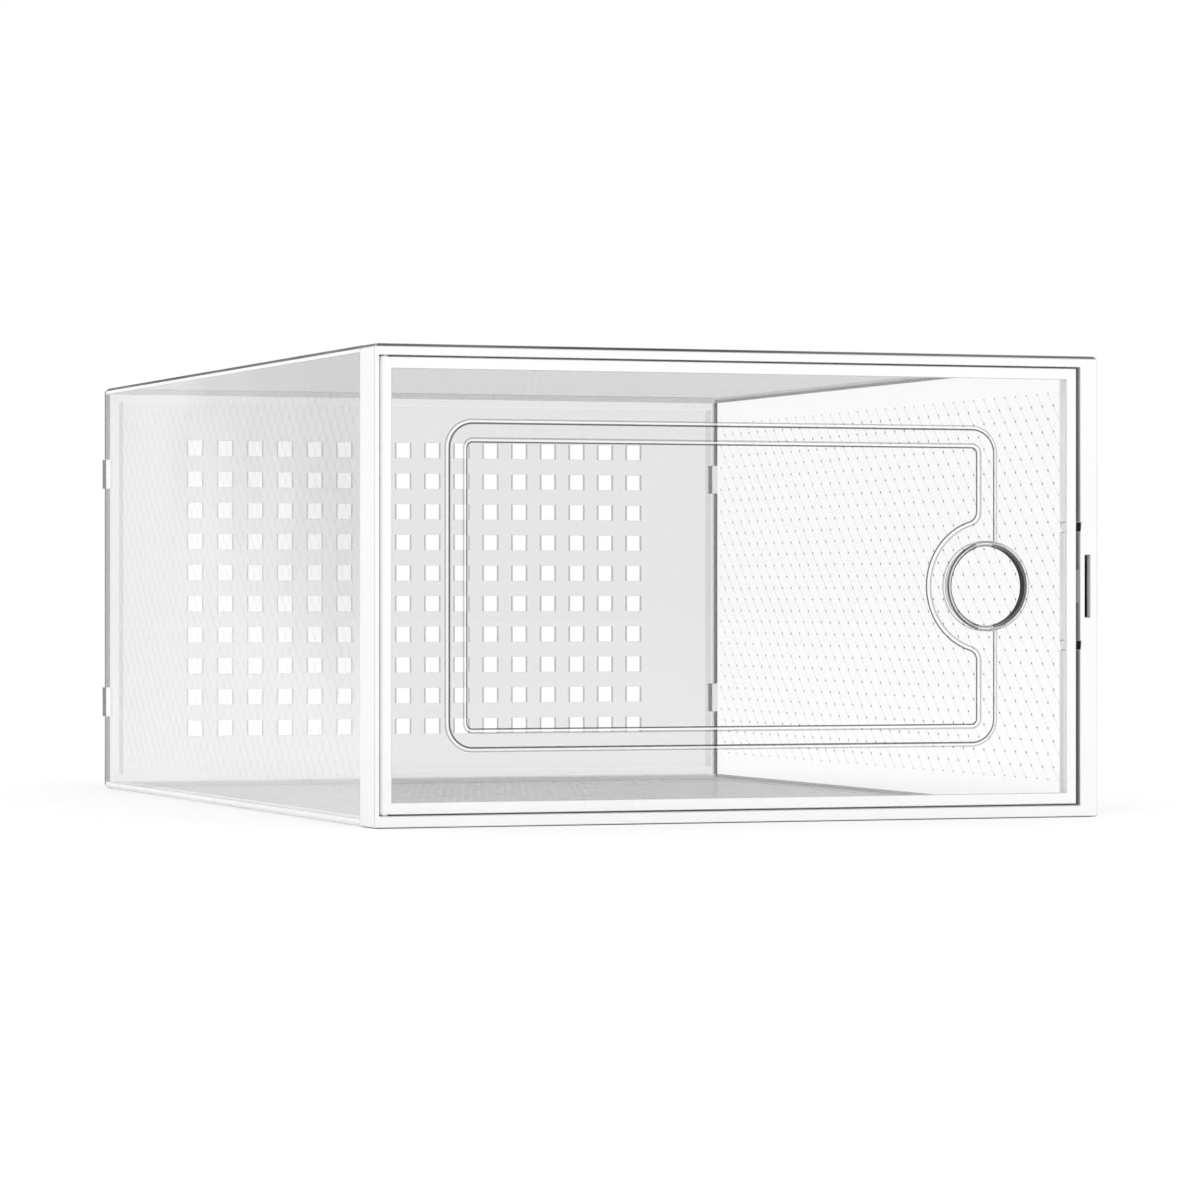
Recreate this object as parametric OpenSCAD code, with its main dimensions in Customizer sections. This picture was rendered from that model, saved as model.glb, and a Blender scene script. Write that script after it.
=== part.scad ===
// Stackable shoe box with a clear door that swings open to the left.
// Every module below is placed from the front left bottom corner of the box: x runs along the width,
// y from the front face to the back, z up. in_frame() then moves it to the model's own origin, which
// is the middle of the footprint at floor level.

/* [Box] */
// Overall width
box_w = 230; // [200:1:280]
// Overall height
box_h = 140; // [120:1:200]
// Depth from the front frame's face to the back panel's rear face
box_d = 322; // [280:1:360]
// Thickness of the side, top and bottom panels
panel_t = 2; // [1.8:0.1:2.2]
// Thickness of the back panel
back_t = 2; // [1.6:0.1:3]

/* [Front frame] */
// Depth of the frame, front to back
frame_d = 14.5; // [12:0.5:18]
// Width of the left member beside the door
frame_left_w = 1.4; // [1.2:0.1:2]
// Height of the top and bottom members
frame_rail_h = 3.4; // [3:0.1:5]
// Width of the right member, which is the latch post
latch_post_w = 5.9; // [5.5:0.1:8]
// How far the door stop reaches in from the door's opening
stop_w = 3.1; // [2.5:0.1:4]
// Thickness of the door stop
stop_t = 1.6; // [1.2:0.1:2.4]

/* [Door] */
// How far the door lies behind the frame's front face
door_recess = 0.3; // [0.2:0.1:0.6]
// Thickness of the door's rim
door_t = 3.2; // [2.8:0.2:3.6]
// Gap round the door at its top, bottom and hinge side
door_gap = 0.5; // [0.4:0.1:0.8]
// Gap between the door and the latch post
latch_gap = 1.1; // [0.9:0.1:1.6]
// Width of the door's rim as seen from the front
rim_w = 3.4; // [3:0.1:5]
// Thickness of the rim's front lip, which the pane lies behind
lip_t = 0.8; // [0.6:0.1:1]
// Thickness of the clear pane
pane_t = 1.8; // [1.4:0.1:2]

/* [Raised band on the pane] */
// Distance from the box's left, top and bottom edges to the band
band_inset = 21.5; // [18:0.5:26]
// Distance from the box's right edge to the band
band_inset_right = 33; // [31:0.5:36]
// Width of the band
band_w = 7; // [6:0.1:8]
// Radius of the band's outer corners
band_corner_r = 8.5; // [7:0.5:12]
// How far the band stands out from the pane
band_rise = 0.6; // [0.3:0.1:0.7]

/* [Finger hole] */
// Distance from the box's right edge to the middle of the hole
hole_inset = 36; // [35:0.5:40]
// Radius of the hole
hole_r = 12; // [10:0.5:13]
// Outer radius of the collar round the hole
collar_r = 13.7; // [13.4:0.1:15]
// Length of the collar, front to back
collar_l = 4.3; // [3:0.1:4.5]
// Radius of the band's bulge round the hole
bulge_r = 20.5; // [18:0.5:22]
// Radius where the bulge runs into the band
bulge_fillet_r = 3; // [2:0.5:4]

/* [Hinge] */
// Radius of the door's hinge pins
pin_r = 1; // [0.8:0.1:1.1]
// Length of each hinge pin beyond the door's edge
pin_l = 2.1; // [1.6:0.1:2.3]
// Radial clearance of the pins in the frame
pin_clearance = 0.05; // [0.02:0.01:0.1]

/* [Latch] */
// Height of the slot that frees the springy catch strip
slot_h = 19; // [15:1:25]
// Width of that slot
slot_w = 1.8; // [1.4:0.1:2]
// Thickness of the catch strip between the slot and the door
strip_t = 1.6; // [1.2:0.1:1.8]
// Distance of each relief notch from the middle of the height
notch_offset = 18; // [15:1:22]
// Height of each relief notch
notch_h = 3; // [2:0.5:4]
// Height of the catch ridge on the strip
ridge_h = 10; // [6:1:14]
// How far the catch ridge stands out from the strip
ridge_rise = 0.9; // [0.5:0.1:0.9]

/* [Vents] */
// Number of vent columns
vent_columns = 16; // [8:1:17]
// Number of vent rows
vent_rows = 10; // [4:1:10]
// Distance between vent centres
vent_pitch = 11; // [9:0.5:11]
// Side of each square vent
vent_size = 5.5; // [4:0.5:6]

/* [Tabs] */
// Height of each tab of the side panels
tab_h = 10.2; // [8:0.2:14]
// Distance of each side tab's middle from the top or the bottom
tab_inset = 30; // [20:1:40]
// How far the rear tabs stand out behind the back panel
rear_tab_l = 3.4; // [2:0.1:5]
// How far the rear tabs' barbs hook over the back panel
barb = 0.8; // [0.5:0.1:1]
// Length of the front tabs, which sit in the frame
front_tab_l = 4; // [3:0.5:5]
// Width of the front tabs of the top and bottom panels
rail_tab_w = 20; // [12:1:30]
// Distance of those tabs from the middle of the width
rail_tab_x = 60; // [40:1:80]

/* [Hidden] */
$fn = 96;

over = 0.5;                      // how far a cutter reaches past the face it opens
fit = 0.1;                       // gap between a tongue or tab and its groove or slot
tongue_t = 0.8;                  // thickness of the panels' tongues and front tabs
tongue_l = 1;                    // height of the side panels' tongues
corner_r = 1.5;                  // radius of the back panel's corners
mid_z = box_h / 2;
total_d = box_d + rear_tab_l;
back_y = box_d - back_t;

// The door's opening in the frame
opening_left = frame_left_w;
opening_right = box_w - latch_post_w;
opening_bottom = frame_rail_h;
opening_top = box_h - frame_rail_h;
stop_y = door_recess + door_t + fit;
pocket_wall = 3.4;               // thickness of the frame's left member behind the stop

// The door
door_left = opening_left + door_gap;
door_right = opening_right - latch_gap;
door_bottom = opening_bottom + door_gap;
door_top = opening_top - door_gap;
door_h = door_top - door_bottom;
door_back = door_recess + door_t;
hinge_x = door_left + door_t / 2;
hinge_y = door_recess + door_t / 2;
seat_w = 2;                      // width of the rim's wall round the pane's edge
pane_y = door_recess + lip_t;

// The raised band and the finger hole
hole_x = box_w - hole_inset;
band_right = box_w - band_inset_right;
leg_x = band_right - band_w;
band_inner_r = band_corner_r - band_w;
fillet_x = leg_x - bulge_fillet_r;
fillet_dz = sqrt(pow(bulge_r + bulge_fillet_r, 2) - pow(hole_x - fillet_x, 2));
fillet_touch = bulge_r / (bulge_r + bulge_fillet_r);

// The back panel's locating ring
ring_w = 2.6;
ring_l = 6;

module in_frame() {
    translate([-box_w / 2, -total_d / 2, 0]) children();
}

// A box from its lowest corner to its highest
module span(low, high) {
    translate(low) cube(high - low);
}

// An outline drawn in x and z, made solid from y0 to y1
module upright(y0, y1) {
    translate([0, y1, 0]) rotate([90, 0, 0]) linear_extrude(y1 - y0) children();
}

module rounded_rect(low, high, r) {
    translate([low.x + r, low.y]) square([high.x - low.x - 2 * r, high.y - low.y]);
    translate([low.x, low.y + r]) square([high.x - low.x, high.y - low.y - 2 * r]);
    for (x = [low.x + r, high.x - r], z = [low.y + r, high.y - r]) {
        translate([x, z]) circle(r);
    }
}

// Slots in the frame's rear face for the four panels' front tabs
module frame_tab_slots() {
    y0 = frame_d - front_tab_l - fit;
    y1 = frame_d + over;
    low = panel_t - tongue_t - 2 * fit;
    for (z = [tab_inset, box_h - tab_inset]) {
        for (x = [low, box_w - panel_t]) {
            span([x, y0, z - tab_h / 2 - fit], [x + tongue_t + 2 * fit, y1, z + tab_h / 2 + fit]);
        }
    }
    for (x = [box_w / 2 - rail_tab_x, box_w / 2 + rail_tab_x]) {
        for (z = [low, box_h - panel_t]) {
            span([x - rail_tab_w / 2 - fit, y0, z],
                 [x + rail_tab_w / 2 + fit, y1, z + tongue_t + 2 * fit]);
        }
    }
}

// The slot behind the catch strip and the two notches that end it
module latch_relief() {
    slot_x = opening_right + strip_t;
    span([slot_x, -over, mid_z - slot_h / 2], [slot_x + slot_w, frame_d + over, mid_z + slot_h / 2]);
    for (side = [-1, 1]) {
        z = mid_z + side * notch_offset;
        span([opening_right - stop_w - over, -over, z - notch_h / 2],
             [opening_right + strip_t / 4, frame_d + over, z + notch_h / 2]);
    }
}

// A half-round ridge that snaps past the door's edge
module catch_ridge() {
    intersection() {
        translate([opening_right, hinge_y, mid_z - ridge_h / 2]) cylinder(r = ridge_rise, h = ridge_h);
        span([opening_right - ridge_rise, 0, 0], [opening_right + strip_t / 2, frame_d, box_h]);
    }
}

module front_frame() {
    color("white") in_frame() {
        difference() {
            cube([box_w, frame_d, box_h]);
            span([opening_left, -over, opening_bottom], [opening_right, stop_y, opening_top]);
            span([opening_left + stop_w, -over, opening_bottom + stop_w],
                 [opening_right - stop_w, frame_d + over, opening_top - stop_w]);
            span([pocket_wall, stop_y + stop_t, frame_rail_h],
                 [opening_right, frame_d + over, box_h - frame_rail_h]);
            for (z = [door_bottom - pin_l - 2 * fit, opening_top - over]) {
                translate([hinge_x, hinge_y, z])
                    cylinder(r = pin_r + pin_clearance, h = pin_l - door_gap + 2 * fit + over);
            }
            frame_tab_slots();
            latch_relief();
        }
        catch_ridge();
    }
}

module door_frame() {
    color("white") in_frame() {
        difference() {
            union() {
                span([hinge_x, door_recess, door_bottom], [door_right, door_back, door_top]);
                translate([hinge_x, hinge_y, door_bottom]) cylinder(d = door_t, h = door_h);
            }
            span([door_left + rim_w, -over, door_bottom + rim_w],
                 [door_right - rim_w, door_back + over, door_top - rim_w]);
            span([door_left + seat_w, pane_y, door_bottom + seat_w],
                 [door_right - seat_w, door_back + over, door_top - seat_w]);
        }
        for (z = [door_bottom - pin_l, door_top]) {
            translate([hinge_x, hinge_y, z]) cylinder(r = pin_r, h = pin_l);
        }
    }
}

// Fills the corners where the bulge runs into the band's right leg
module bulge_fillets() {
    for (side = [-1, 1]) {
        centre = [fillet_x, mid_z + side * fillet_dz];
        corner = [leg_x, mid_z + side * sqrt(pow(bulge_r, 2) - pow(hole_x - leg_x, 2))];
        touch = [hole_x, mid_z] + (centre - [hole_x, mid_z]) * fillet_touch;
        difference() {
            polygon([centre, [leg_x, centre.y], corner, touch]);
            translate(centre) circle(bulge_fillet_r);
        }
    }
}

module band_outline() {
    difference() {
        rounded_rect([band_inset, band_inset], [band_right, box_h - band_inset], band_corner_r);
        difference() {
            rounded_rect([band_inset + band_w, band_inset + band_w],
                         [leg_x, box_h - band_inset - band_w], band_inner_r);
            translate([hole_x, mid_z]) circle(bulge_r);
            bulge_fillets();
        }
    }
    translate([hole_x, mid_z]) circle(collar_r);
}

module door_pane() {
    edge = seat_w + fit;
    color("gainsboro", 0.4) in_frame() {
        difference() {
            union() {
                span([door_left + edge, pane_y, door_bottom + edge],
                     [door_right - edge, pane_y + pane_t, door_top - edge]);
                upright(pane_y - band_rise, pane_y + over) band_outline();
                upright(pane_y - band_rise, pane_y - band_rise + collar_l)
                    translate([hole_x, mid_z]) circle(collar_r);
            }
            upright(0, frame_d) translate([hole_x, mid_z]) circle(hole_r);
        }
    }
}

// A side panel with its outer face at x = 0
module side_panel() {
    tongue_x = (panel_t - tongue_t) / 2;
    span([0, frame_d, panel_t], [panel_t, back_y, box_h - panel_t]);
    span([tongue_x, frame_d, panel_t - tongue_l],
         [tongue_x + tongue_t, back_y, box_h - panel_t + tongue_l]);
    for (z = [tab_inset, box_h - tab_inset]) {
        span([panel_t - tongue_t - fit, frame_d - front_tab_l, z - tab_h / 2],
             [panel_t - fit, frame_d + over, z + tab_h / 2]);
        span([0, back_y - over, z - tab_h / 2], [panel_t, total_d, z + tab_h / 2]);
        translate([0, 0, z - tab_h / 2]) linear_extrude(tab_h)
            polygon([[panel_t - over, box_d + fit], [panel_t + barb, box_d + fit],
                     [panel_t + barb, box_d + fit + barb / 2], [panel_t, total_d],
                     [panel_t - over, total_d]]);
    }
}

module left_side_panel() {
    color("gainsboro", 0.4) in_frame() side_panel();
}

module right_side_panel() {
    color("gainsboro", 0.4) in_frame() translate([box_w, 0, 0]) mirror([1, 0, 0]) side_panel();
}

// The bottom panel, with its underside at z = 0
module flat_panel() {
    groove_x = (panel_t - tongue_t) / 2 - fit;
    groove_w = tongue_t + 2 * fit;
    difference() {
        span([0, frame_d, 0], [box_w, back_y, panel_t]);
        for (x = [groove_x, box_w - groove_x - groove_w]) {
            span([x, frame_d - over, panel_t - tongue_l - fit],
                 [x + groove_w, back_y + over, panel_t + over]);
        }
    }
    for (x = [box_w / 2 - rail_tab_x, box_w / 2 + rail_tab_x]) {
        span([x - rail_tab_w / 2, frame_d - front_tab_l, panel_t - tongue_t - fit],
             [x + rail_tab_w / 2, frame_d + over, panel_t - fit]);
    }
}

module bottom_panel() {
    color("gainsboro", 0.4) in_frame() flat_panel();
}

module top_panel() {
    color("gainsboro", 0.4) in_frame() translate([0, 0, box_h]) mirror([0, 0, 1]) flat_panel();
}

module vents() {
    x0 = box_w / 2 - (vent_columns - 1) * vent_pitch / 2;
    z0 = mid_z - (vent_rows - 1) * vent_pitch / 2;
    for (column = [0:vent_columns - 1], row = [0:vent_rows - 1]) {
        translate([x0 + column * vent_pitch, z0 + row * vent_pitch]) square(vent_size, center = true);
    }
}

module back_panel() {
    ring_out = panel_t + fit;
    ring_in = ring_out + ring_w;
    color("gainsboro", 0.4) in_frame() {
        upright(back_y, box_d) difference() {
            rounded_rect([0, 0], [box_w, box_h], corner_r);
            vents();
            for (x = [-over, box_w - panel_t - fit], z = [tab_inset, box_h - tab_inset]) {
                translate([x, z - tab_h / 2 - fit]) square([panel_t + fit + over, tab_h + 2 * fit]);
            }
        }
        upright(back_y - ring_l, back_y + over) difference() {
            translate([ring_out, ring_out]) square([box_w - 2 * ring_out, box_h - 2 * ring_out]);
            translate([ring_in, ring_in]) square([box_w - 2 * ring_in, box_h - 2 * ring_in]);
        }
    }
}

front_frame();
door_frame();
door_pane();
left_side_panel();
right_side_panel();
top_panel();
bottom_panel();
back_panel();
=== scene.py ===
import math

import bmesh
import bpy
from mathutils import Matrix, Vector
from mathutils.geometry import delaunay_2d_cdt


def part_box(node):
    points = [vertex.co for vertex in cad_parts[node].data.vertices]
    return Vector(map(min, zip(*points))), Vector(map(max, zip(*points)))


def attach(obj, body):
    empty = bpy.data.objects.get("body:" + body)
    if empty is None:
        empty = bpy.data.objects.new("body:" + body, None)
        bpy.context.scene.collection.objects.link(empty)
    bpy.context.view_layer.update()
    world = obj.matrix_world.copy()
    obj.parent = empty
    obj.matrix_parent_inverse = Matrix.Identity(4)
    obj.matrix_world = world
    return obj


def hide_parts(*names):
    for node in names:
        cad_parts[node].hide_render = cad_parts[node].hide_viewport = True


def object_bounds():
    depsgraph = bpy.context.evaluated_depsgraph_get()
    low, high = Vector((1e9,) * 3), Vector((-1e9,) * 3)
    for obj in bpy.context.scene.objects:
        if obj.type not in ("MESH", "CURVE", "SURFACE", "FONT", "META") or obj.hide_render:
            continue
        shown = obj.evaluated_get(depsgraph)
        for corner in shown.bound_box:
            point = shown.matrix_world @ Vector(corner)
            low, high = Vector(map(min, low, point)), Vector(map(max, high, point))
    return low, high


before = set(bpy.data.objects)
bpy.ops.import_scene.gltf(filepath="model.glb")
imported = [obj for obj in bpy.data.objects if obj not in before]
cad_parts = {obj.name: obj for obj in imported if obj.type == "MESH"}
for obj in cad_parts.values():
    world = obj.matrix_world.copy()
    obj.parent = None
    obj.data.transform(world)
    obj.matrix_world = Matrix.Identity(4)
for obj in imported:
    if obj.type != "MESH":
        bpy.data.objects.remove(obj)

CAD_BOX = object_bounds()
MM = 0.001
LOW = CAD_BOX[0]                  # the front left bottom corner of the box
SCENE = bpy.context.scene


def at(u, y, z):
    """A place given in millimetres from the front left bottom corner, in metres in the shared frame."""
    return Vector((LOW.x + u * MM, LOW.y + y * MM, LOW.z + z * MM))


def node_span(node):
    """Lowest and highest corner of a CAD node, in millimetres from the front left bottom corner."""
    low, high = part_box(node)
    return (low - LOW) / MM, (high - LOW) / MM


# ---- Dimensions, in millimetres -------------------------------------------------------------------

FRAME_HIGH = node_span("front_frame")[1]
TOP_LOW, TOP_HIGH = node_span("top_panel")
PANE_LOW, PANE_HIGH = node_span("door_pane")
BOX_W = FRAME_HIGH.x
BOX_H = FRAME_HIGH.z
FRAME_D = FRAME_HIGH.y
MID_Z = BOX_H / 2
PANEL_T = TOP_HIGH.z - TOP_LOW.z
PANEL_END = TOP_HIGH.y            # the panels' rear edge, on the back panel's inner face
BACK_END = node_span("back_panel")[1].y
TAB_END = node_span("left_side_panel")[1].y

FRONT_TAB_L = 4                   # length of the tabs that sit in the frame
TONGUE_T = 0.8                    # thickness of tongues and front tabs
TONGUE_L = 1                      # height of the side panels' tongues
FIT = 0.1                         # gap between a tongue and its groove
TAB_H = 10.2                      # height of the side panels' tabs
TAB_INSET = 30                    # distance of a tab's middle from the top or the bottom
RAIL_TAB_W = 20                   # width of the top and bottom panels' front tabs
RAIL_TAB_X = 60                   # distance of those tabs from the middle of the width
BARB = 0.8                        # how far a rear tab's barb hooks over the back panel
SEAM = 0.02                       # hair gap where a panel's end meets the frame or the back panel
LINE_CHAMFER = 1.0                # chamfer on the frame's top and on the top and bottom panels' edges; painted dark as shade on the frame's top and the top panel
END_LINE_W = 1.4                  # width of the painted dark shade line on a side panel's rear end and on its tabs
TAB_BEVEL = 0.3                   # bevel on a rear tab's outer corner
SOFT_EDGE = 0.2                   # rounding of the long edges on the frame and the door's rim
BACK_SOFT_EDGE = 0.12             # the same on the back panel

LATTICE_PITCH = 8                 # distance between the embossed lines, along the panel's edges
LATTICE_MARGIN = 5                # plain margin round the embossing, at least
GROOVE_W = 0.36                   # half width of an embossed line
GROOVE_DEPTH = 0.16               # depth of an embossed line
CROSSING_INSET = GROOVE_W * math.sqrt(2)    # from a crossing's middle to a diamond's corner

BAND_INSET = 21.5                 # distance from the box's left, top and bottom edges to the band
BAND_RIGHT = BOX_W - 33           # right edge of the band
BAND_W = 7
BAND_CORNER_R = 8.5               # radius of the band's outer corners
BAND_RISE = 0.6                   # how far the band stands out from the pane
HOLE_X = BOX_W - 36               # middle of the finger hole
HOLE_R = 12
COLLAR_R = 13.7                   # outer radius of the collar round the hole
BULGE_R = 20.5                    # radius of the bulge in the band's inner outline
FILLET_R = 3                      # radius where the bulge meets the band's straight edge
PANE_T = 1.8
SLOPE = [(0, 0), (0.45, 0.1), (1.05, 0.44), (1.6, BAND_RISE)]  # run and rise across the band's edge
COLLAR_LIP = 0.65                 # bevel on the collar's edges


# ---- Materials ------------------------------------------------------------------------------------

FADE_BACKWARD = -0.8              # weight of the depth in the painted shade that greys a wall towards the upper front
FADE_UPWARD = 0.9                 # weight of the height in it
FADE_WANDER = 0.35                # how far the noise shifts it
FADE_START, FADE_END = 0.55, 1.35
CLOUD_SCALE = 14                  # noise scales, per metre
POLISH_SCALE = 60
GRAIN_SCALE = 1400
GRAIN_DEPTH = 0.05                # mm
NOISE_LOW, NOISE_HIGH = 0.3, 0.7  # most of a noise lies between these
POLISH_SPREAD = 0.2               # share by which the roughness varies each way
PLASTIC_IOR = 1.5


def link_noise(nodes, links, coords, scale, detail=2.0):
    noise = nodes.new("ShaderNodeTexNoise")
    noise.inputs["Scale"].default_value = scale
    noise.inputs["Detail"].default_value = detail
    links.new(coords.outputs["Object"], noise.inputs["Vector"])
    return noise


def ranged(nodes, links, source, low, high):
    """Spreads a noise value over low to high."""
    spread = nodes.new("ShaderNodeMapRange")
    spread.inputs["From Min"].default_value = NOISE_LOW
    spread.inputs["From Max"].default_value = NOISE_HIGH
    spread.inputs["To Min"].default_value = low
    spread.inputs["To Max"].default_value = high
    links.new(source, spread.inputs["Value"])
    return spread.outputs["Result"]


def painted_shade_fade(nodes, links, coords, mix, grey):
    """Paints shade: turns the mixed colour slowly to grey from the lower rear to the upper front."""
    along = nodes.new("ShaderNodeVectorMath")
    along.operation = "DOT_PRODUCT"
    size = CAD_BOX[1] - LOW
    along.inputs[1].default_value = (0, FADE_BACKWARD / size.y, FADE_UPWARD / size.z)
    links.new(coords.outputs["Object"], along.inputs[0])
    wander = nodes.new("ShaderNodeMath")
    wander.operation = "MULTIPLY_ADD"
    wander.inputs[1].default_value = FADE_WANDER
    links.new(mix.inputs["Factor"].links[0].from_socket, wander.inputs[0])
    links.new(along.outputs["Value"], wander.inputs[2])
    share = nodes.new("ShaderNodeMapRange")
    share.interpolation_type = "SMOOTHSTEP"
    share.inputs["From Min"].default_value = FADE_START
    share.inputs["From Max"].default_value = FADE_END
    links.new(wander.outputs["Value"], share.inputs["Value"])
    turn = nodes.new("ShaderNodeMix")
    turn.data_type = "RGBA"
    turn.inputs["B"].default_value = (grey, grey, grey, 1)
    links.new(share.outputs["Result"], turn.inputs["Factor"])
    links.new(mix.outputs["Result"], turn.inputs["A"])
    links.new(turn.outputs["Result"], nodes["Principled BSDF"].inputs["Base Color"])


def plastic(name, grey, alpha=1.0, roughness=0.3, mottle=0.03, grain=0.0, specular=0.5, fade=None):
    """Moulded plastic: a faint cloudiness in the colour and an uneven polish. With grain it has a fine
    texture too, and with fade its grey turns to that value towards the upper front, as painted shade."""
    mat = bpy.data.materials.new(name)
    mat.use_nodes = True
    nodes, links = mat.node_tree.nodes, mat.node_tree.links
    shader = nodes["Principled BSDF"]
    coords = nodes.new("ShaderNodeTexCoord")
    cloud = link_noise(nodes, links, coords, CLOUD_SCALE)
    mix = nodes.new("ShaderNodeMix")
    mix.data_type = "RGBA"
    mix.inputs["A"].default_value = [grey * (1 - mottle)] * 3 + [1]
    mix.inputs["B"].default_value = [min(grey * (1 + mottle), 1)] * 3 + [1]
    links.new(ranged(nodes, links, cloud.outputs["Fac"], 0, 1), mix.inputs["Factor"])
    links.new(mix.outputs["Result"], shader.inputs["Base Color"])
    if fade is not None:
        painted_shade_fade(nodes, links, coords, mix, fade)
    polish = link_noise(nodes, links, coords, POLISH_SCALE)
    low, high = roughness * (1 - POLISH_SPREAD), roughness * (1 + POLISH_SPREAD)
    links.new(ranged(nodes, links, polish.outputs["Fac"], low, high), shader.inputs["Roughness"])
    if grain:
        fine = link_noise(nodes, links, coords, GRAIN_SCALE, 1.0)
        bump = nodes.new("ShaderNodeBump")
        bump.inputs["Strength"].default_value = grain
        bump.inputs["Distance"].default_value = GRAIN_DEPTH * MM
        links.new(fine.outputs["Fac"], bump.inputs["Height"])
        links.new(bump.outputs["Normal"], shader.inputs["Normal"])
    shader.inputs["IOR"].default_value = PLASTIC_IOR
    shader.inputs["Specular IOR Level"].default_value = specular
    shader.inputs["Alpha"].default_value = alpha
    if alpha < 1:
        mat.surface_render_method = "BLENDED"
    return mat


MATERIALS = {
    "frame": plastic("frame_white", 0.88, roughness=0.35, mottle=0.012, grain=0.25),
    "rim": plastic("rim_white", 0.89, roughness=0.3, mottle=0.012, grain=0.2),
    # Painted shade: the dark line along the frame's top edges
    "frame_shade_line": plastic("frame_edge_painted_shade", 0.1, roughness=0.5, mottle=0.75, specular=0.15),
    # Painted shade: grey on the rounded edges of the frame and the door's rim
    "edge": plastic("edge_painted_shade", 0.55, roughness=0.4, mottle=0.1),
    "shade": plastic("slot_shade", 0.015, roughness=0.7, mottle=0.2, specular=0.1),
    # Painted shade, lighter, on the front part of the slot's walls
    "slot_lip_painted_shade": plastic("slot_lip_painted_shade", 0.72, roughness=0.5),
    "gap": plastic("gap_shade", 0.9, roughness=0.6, mottle=0.05, specular=0.2),
    "gap_dark": plastic("gap_deep_shade", 0.32, roughness=0.6, mottle=0.1, specular=0.2),
    "panel": plastic("panel_clear", 0.9, alpha=0.08, roughness=0.12),
    # Painted sheen on the left panel's outside, turning to painted shade towards the upper front
    "painted_sheen_veil": plastic("panel_clear_painted_sheen_and_shade", 0.99, alpha=0.32, roughness=0.15, fade=0.42),
    # Whiter than the other sheets: painted light that lifts the shade beneath the box
    "floor_panel": plastic("bottom_clear_painted_light", 0.95, alpha=0.15, roughness=0.12),
    # Tinted dark: painted shade on the top sheet, seen from below
    "roof_panel": plastic("top_clear_painted_shade", 0.1, alpha=0.18, roughness=0.12, specular=0.0),
    "panel_edge": plastic("panel_edge", 0.97, alpha=0.9, roughness=0.2),
    # Painted shade lines on the top sheet's outer chamfers, softer at the right
    "panel_shade_line": plastic("panel_edge_painted_shade", 0.07, alpha=0.92, roughness=0.5, mottle=0.75,
                          specular=0.1),
    "line_soft": plastic("panel_edge_line_soft", 0.2, alpha=0.4, roughness=0.5, mottle=0.5,
                         specular=0.1),
    "panel_end": plastic("panel_end", 0.3, alpha=0.22, roughness=0.2),
    # Painted shade line on the side panels' rear ends and the back panel's outer edges
    "end_line": plastic("panel_end_painted_shade", 0.1, alpha=0.8, roughness=0.4, mottle=0.3, specular=0.1),
    # The embossing's grooves and crossings are painted darker as shade
    "groove": plastic("emboss_painted_shade", 0.2, alpha=0.15, roughness=0.25),
    "groove_deep": plastic("emboss_line_deep", 0.2, alpha=0.3, roughness=0.25),
    "groove_soft": plastic("emboss_line_soft", 0.25, alpha=0.11, roughness=0.25),
    "groove_faint": plastic("emboss_line_faint", 0.2, alpha=0.06, roughness=0.25),
    "dot": plastic("emboss_crossing_painted_shade", 0.05, alpha=0.85, roughness=0.25, specular=0.2),
    "dot_faint": plastic("emboss_crossing_faint", 0.2, alpha=0.3, roughness=0.25, specular=0.2),
    "tab": plastic("tab_clear", 0.8, alpha=0.15, roughness=0.2),
    # Painted shade lines on the rear tabs' ends and edges
    "tab_shade_line": plastic("tab_shade_line", 0.07, alpha=0.85, roughness=0.4, mottle=0.2, specular=0.1),
    "back": plastic("back_clear", 0.25, alpha=0.15, roughness=0.15),
    "ring": plastic("back_ring", 0.2, alpha=0.12, roughness=0.2),
    # Painted shade on the locating ring's inward walls and on the vents' walls
    "ring_wall": plastic("back_ring_wall_painted_shade", 0.15, alpha=0.32, roughness=0.2),
    "vent_wall_painted_shade": plastic("vent_wall_painted_shade", 0.12, alpha=0.55, roughness=0.25, specular=0.2),
    "pane": plastic("door_clear", 0.8, alpha=0.02, roughness=0.05),
    # Painted highlight on the band's slopes, and painted dark shade lines beside it
    "slope": plastic("band_painted_highlight", 1.0, alpha=0.55, roughness=0.08),
    "line_dark": plastic("band_line_painted_shade", 0.03, alpha=0.8, roughness=0.3, mottle=0.15, specular=0.1),
    "line_faint": plastic("band_line_faint_painted_shade", 0.08, alpha=0.42, roughness=0.3, mottle=0.15,
                          specular=0.1),
    # Painted shade: the collar's wall is dark at its right and faint elsewhere
    "collar": plastic("collar_wall_painted_shade", 0.006, alpha=0.97, roughness=0.4, mottle=0.2, specular=0.05),
    "collar_faint": plastic("collar_wall_faint", 0.15, alpha=0.25, roughness=0.2, mottle=0.2,
                            specular=0.2),
}
# Finishes of a panel's rising embossed lines, its falling ones and their crossings, painted darker as
# shade, one family more than the other
RIGHT_LINES = ("groove", "groove_faint", "dot")
LEFT_LINES = ("groove", "groove_soft", "dot_faint")
FLOOR_LINES = ("groove_deep", "groove_deep", "dot")
ROOF_LINES = ("groove_soft", "groove_faint", "dot_faint")


# ---- Mesh helpers ---------------------------------------------------------------------------------

WELD = 0.002 * MM                 # points closer than this are one
SHARP = math.radians(35)          # an edge that turns by more than this is sharp
LONG_EDGE = 1.5                   # shorter edges than this aren't rounded
FLAT_TURN = math.radians(1)       # CAD faces that turn by less than this are one
FILL_ACCURACY = 1e-4              # mm


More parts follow.
